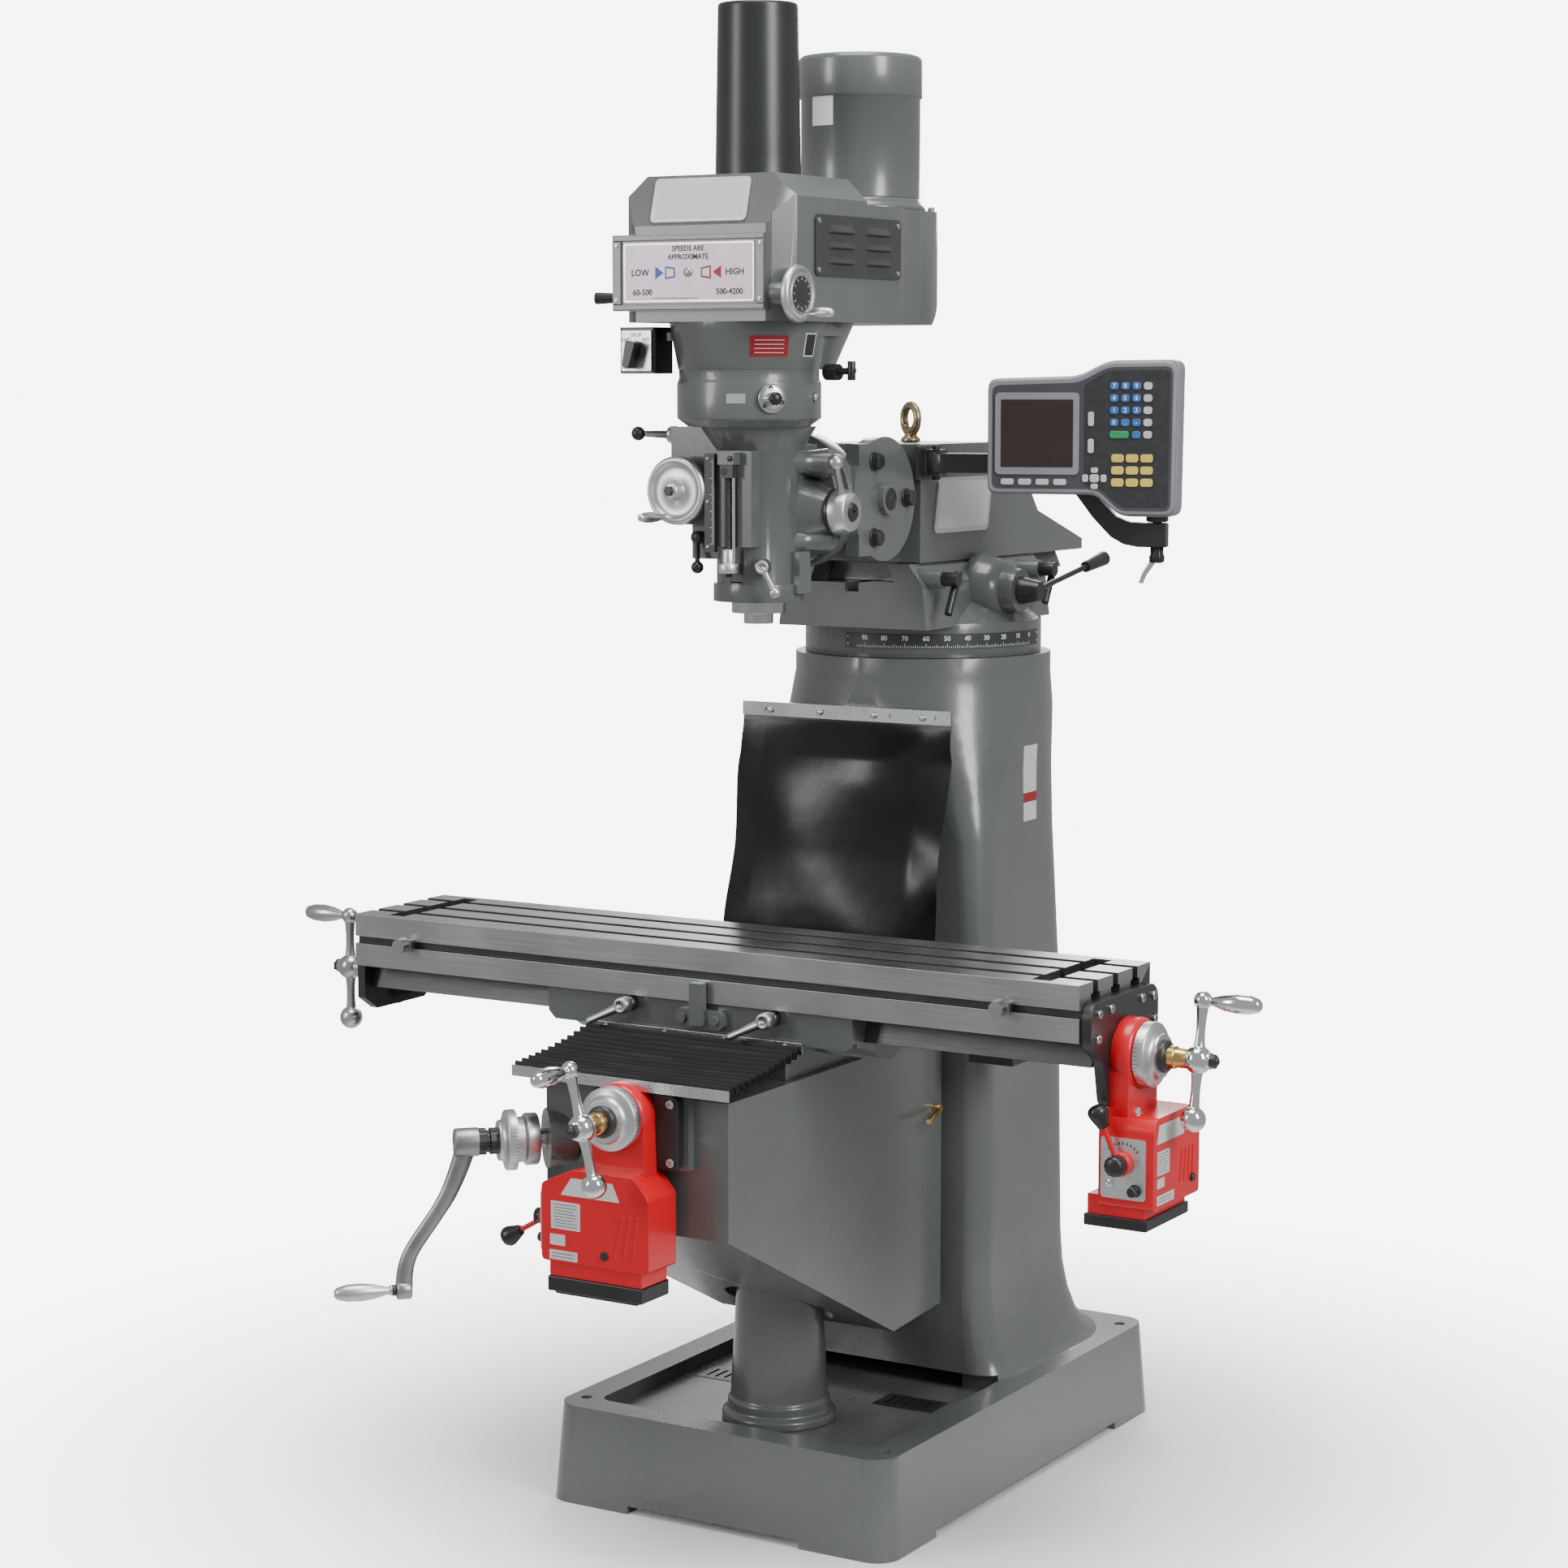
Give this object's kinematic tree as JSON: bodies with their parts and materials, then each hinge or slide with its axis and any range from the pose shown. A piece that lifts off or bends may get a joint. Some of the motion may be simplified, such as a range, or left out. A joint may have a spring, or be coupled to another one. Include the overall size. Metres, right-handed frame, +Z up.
{
  "type": "vertical milling machine",
  "caption": "Knee-type turret milling machine with variable-speed head, powered table and cross feeds, and a swing-arm digital read-out.",
  "frame": {"origin": "centre of the four floor-bolt holes in the base, at floor level", "axes": "+Z up; +X to the operator's right; +Y from the operator towards the column"},
  "size_m": [1.646, 1.4445, 2.256],
  "materials": {
    "aluminium": "satin turned aluminium",
    "black_plastic": "black moulded plastic",
    "black_plate": "black painted sheet steel, satin",
    "black_steel": "black oxide and black paint, semi-gloss",
    "brass": "turned brass",
    "chrome": "polished chrome plate",
    "display_case": "dark grey moulded case",
    "enamel": "glossy grey machine enamel over cast iron",
    "red_enamel": "glossy red paint",
    "rubber": "black nitrile rubber, slightly glossy",
    "steel": "ground and machined steel, satin",
    "zinc": "yellow zinc plate"
  },
  "bodies": {
    "frame": {"column_base_casting": "enamel", "knee_screw_pedestal": "enamel", "chip_strainers": "black_plate", "way_cover_strip": "steel", "way_cover_sheet": "rubber", "junction_box": "black_plate"},
    "turret": {"turret_casting": "enamel", "turret_degree_scale": "black_plate"},
    "ram_lock_front": {"ram_lock_lever_front": "black_steel"},
    "ram_lock_rear": {"ram_lock_lever_rear": "black_steel"},
    "ram_lever": {"ram_pinion_lever": "black_steel"},
    "ram": {"ram_casting": "enamel", "ram_badge": "aluminium", "lifting_eye": "zinc", "dro_bracket": "black_steel"},
    "dro_arm": {"dro_arm": "black_steel"},
    "dro_display": {"dro_display": "display_case"},
    "adapter": {"ram_adapter": "enamel"},
    "head": {"quill_housing": "enamel", "gear_housing": "enamel", "belt_housing": "enamel", "drive_motor": "enamel", "front_plates": "aluminium", "vent_plate": "black_plate", "drawbar_cover": "black_steel", "switch_box": "black_plastic", "quill_stop_screw": "steel", "head_lock_nuts": "black_steel"},
    "switch_knob": {"switch_knob": "black_plastic"},
    "speed_handwheel": {"speed_handwheel": "aluminium"},
    "brake_lever": {"brake_lever": "black_plastic"},
    "range_lever": {"range_lever": "black_plastic"},
    "feed_selector": {"feed_selector": "chrome"},
    "feed_engage_lever": {"feed_engage_lever": "chrome"},
    "fine_feed_handwheel": {"fine_feed_handwheel": "aluminium"},
    "feed_trip_lever": {"feed_trip_lever": "black_steel"},
    "quill_lock_lever": {"quill_lock_lever": "chrome"},
    "quill_feed_lever": {"quill_feed_lever": "aluminium"},
    "quill": {"quill": "steel"},
    "spindle": {"spindle": "steel"},
    "knee": {"knee_casting": "enamel", "knee_gib_lock": "brass", "y_feed_unit": "red_enamel", "bellows_cover": "rubber"},
    "elevating_screw": {"elevating_screw": "steel"},
    "knee_crank": {"knee_crank": "aluminium"},
    "y_feed_lever": {"y_feed_lever": "black_plastic"},
    "y_screw": {"y_screw_crank": "chrome"},
    "saddle": {"saddle_casting": "enamel", "table_stop_bracket": "enamel"},
    "lock_left": {"table_lock_lever_left": "steel"},
    "lock_right": {"table_lock_lever_right": "steel"},
    "table": {"table": "steel", "table_stop_dogs": "black_steel", "table_end_bracket": "black_steel", "x_feed_unit": "red_enamel", "cable_clips": "black_plastic", "scale_cable": "rubber"},
    "x_feed_lever": {"x_feed_lever": "black_plastic"},
    "x_screw": {"x_screw_cranks": "chrome"}
  },
  "joints": [
    {"name": "turret_swivel", "type": "hinge", "parent": "frame", "child": "turret", "pos_m": [0, 0.19, 1.281], "axis": [0, 0, 1], "range_deg": [-180, 180]},
    {"name": "ram_lock_front_turn", "type": "hinge", "parent": "turret", "child": "ram_lock_front", "pos_m": [0.16, -0.02, 1.409], "axis": [1, 0, 0], "range_deg": [-60, 60]},
    {"name": "ram_lock_rear_turn", "type": "hinge", "parent": "turret", "child": "ram_lock_rear", "pos_m": [0.16, 0.31, 1.409], "axis": [1, 0, 0], "range_deg": [-60, 60]},
    {"name": "ram_lever_ratchet", "type": "hinge", "parent": "turret", "child": "ram_lever", "pos_m": [0.19, 0.168, 1.383], "axis": [1, 0, 0], "range_deg": [-30, 60]},
    {"name": "ram_slide", "type": "slide", "parent": "turret", "child": "ram", "axis": [0, -1, 0], "range_m": [-0.15, 0.155]},
    {"name": "head_nod", "type": "hinge", "parent": "ram", "child": "adapter", "pos_m": [0, -0.124, 1.534], "axis": [1, 0, 0], "range_deg": [-25, 45]},
    {"name": "head_swivel", "type": "hinge", "parent": "adapter", "child": "head", "pos_m": [0, -0.228, 1.534], "axis": [0, 1, 0], "range_deg": [-90, 15]},
    {"name": "switch_turn", "type": "hinge", "parent": "head", "child": "switch_knob", "pos_m": [-0.154, -0.412, 1.754], "axis": [0, 1, 0], "range_deg": [-90, 90]},
    {"name": "speed_wheel_turn", "type": "hinge", "parent": "head", "child": "speed_handwheel", "pos_m": [0.132, -0.446, 1.834], "axis": [1, 0, 0], "continuous": true},
    {"name": "brake_swing", "type": "hinge", "parent": "head", "child": "brake_lever", "pos_m": [-0.153, -0.43, 1.832], "axis": [0, 0, 1], "range_deg": [-20, 20]},
    {"name": "range_turn", "type": "hinge", "parent": "head", "child": "range_lever", "pos_m": [0.1115, -0.31, 1.724], "axis": [0.9806, -0.1961, 0], "range_deg": [0, 180]},
    {"name": "feed_selector_turn", "type": "hinge", "parent": "head", "child": "feed_selector", "pos_m": [0.08038, -0.41587, 1.686], "axis": [0.7547, -0.6561, 0], "range_deg": [-60, 60]},
    {"name": "feed_engage_swing", "type": "hinge", "parent": "head", "child": "feed_engage_lever", "pos_m": [-0.1205, -0.356, 1.632], "axis": [1, 0, 0], "range_deg": [-30, 30]},
    {"name": "fine_feed_turn", "type": "hinge", "parent": "head", "child": "fine_feed_handwheel", "pos_m": [-0.091, -0.372, 1.551], "axis": [0, -1, 0], "continuous": true},
    {"name": "feed_trip_swing", "type": "hinge", "parent": "head", "child": "feed_trip_lever", "pos_m": [-0.072, -0.368, 1.482], "axis": [0, 1, 0], "range_deg": [-20, 20]},
    {"name": "quill_lock_turn", "type": "hinge", "parent": "head", "child": "quill_lock_lever", "pos_m": [0.0475, -0.388, 1.442], "axis": [0.5026, -0.8645, 0], "range_deg": [-15, 45]},
    {"name": "quill_feed", "type": "slide", "parent": "head", "child": "quill", "axis": [0, 0, -1], "range_m": [0, 0.127], "stiffness_N_per_m": 450, "springref_m": -0.35},
    {"name": "quill_lever_turn", "type": "hinge", "parent": "head", "child": "quill_feed_lever", "pos_m": [0.1, -0.268, 1.519], "axis": [1, 0, 0], "range_deg": [0, 384]},
    {"name": "spindle_spin", "type": "hinge", "parent": "quill", "child": "spindle", "pos_m": [0, -0.32, 1.4], "axis": [0, 0, -1], "continuous": true},
    {"name": "knee_crank_turn", "type": "hinge", "parent": "knee", "child": "knee_crank", "pos_m": [-0.129, -0.627, 0.62], "axis": [0.7071, 0.7071, 0], "range_deg": [0, 56700]},
    {"name": "knee_lift", "type": "slide", "parent": "frame", "child": "knee", "axis": [0, 0, 1], "range_m": [0, 0.4], "deforming": ["way_cover_sheet"]},
    {"name": "elevating_screw_turn", "type": "hinge", "parent": "knee", "child": "elevating_screw", "pos_m": [0, -0.261, 0.52], "axis": [0, 0, 1], "range_deg": [-28350, 28350]},
    {"name": "y_screw_turn", "type": "hinge", "parent": "knee", "child": "y_screw", "pos_m": [0.006, -0.7, 0.681], "axis": [0, 1, 0], "range_deg": [-9570, 10635]},
    {"name": "saddle_slide", "type": "slide", "parent": "knee", "child": "saddle", "axis": [0, 1, 0], "range_m": [-0.135, 0.15], "deforming": ["bellows_cover"]},
    {"name": "y_feed_lever_swing", "type": "hinge", "parent": "knee", "child": "y_feed_lever", "pos_m": [-0.112, -0.707, 0.52], "axis": [1, 0, 0], "range_deg": [-30, 30]},
    {"name": "table_lock_left_turn", "type": "hinge", "parent": "saddle", "child": "lock_left", "pos_m": [-0.112, -0.496, 0.799], "axis": [0, 1, 0], "range_deg": [0, 50]},
    {"name": "table_lock_right_turn", "type": "hinge", "parent": "saddle", "child": "lock_right", "pos_m": [0.133, -0.496, 0.799], "axis": [0, 1, 0], "range_deg": [0, 50]},
    {"name": "table_screw_turn", "type": "hinge", "parent": "table", "child": "x_screw", "pos_m": [0.65, -0.387, 0.783], "axis": [1, 0, 0], "range_deg": [-23390, 23390]},
    {"name": "table_slide", "type": "slide", "parent": "saddle", "child": "table", "axis": [1, 0, 0], "range_m": [-0.33, 0.33]},
    {"name": "x_feed_lever_swing", "type": "hinge", "parent": "table", "child": "x_feed_lever", "pos_m": [0.6645, -0.448, 0.64], "axis": [0, 1, 0], "range_deg": [-40, 40]},
    {"name": "dro_arm_swing", "type": "hinge", "parent": "ram", "child": "dro_arm", "pos_m": [0.129, -0.007, 1.58], "axis": [0, 0, 1], "range_deg": [-30, 30]},
    {"name": "dro_display_swivel", "type": "hinge", "parent": "dro_arm", "child": "dro_display", "pos_m": [0.46613, 0.07083, 1.5], "axis": [0, 0, 1], "range_deg": [0, 50]}
  ],
  "couplings": [
    {"joint": "knee_crank_turn", "follows": "knee_lift", "rad_per_m": 2473.7},
    {"joint": "elevating_screw_turn", "follows": "knee_lift", "rad_per_m": 1236.8},
    {"joint": "y_screw_turn", "follows": "saddle_slide", "rad_per_m": 1236.8},
    {"joint": "table_screw_turn", "follows": "table_slide", "rad_per_m": 1236.8},
    {"joint": "quill_lever_turn", "follows": "quill_feed", "rad_per_m": 52.632}
  ]
}
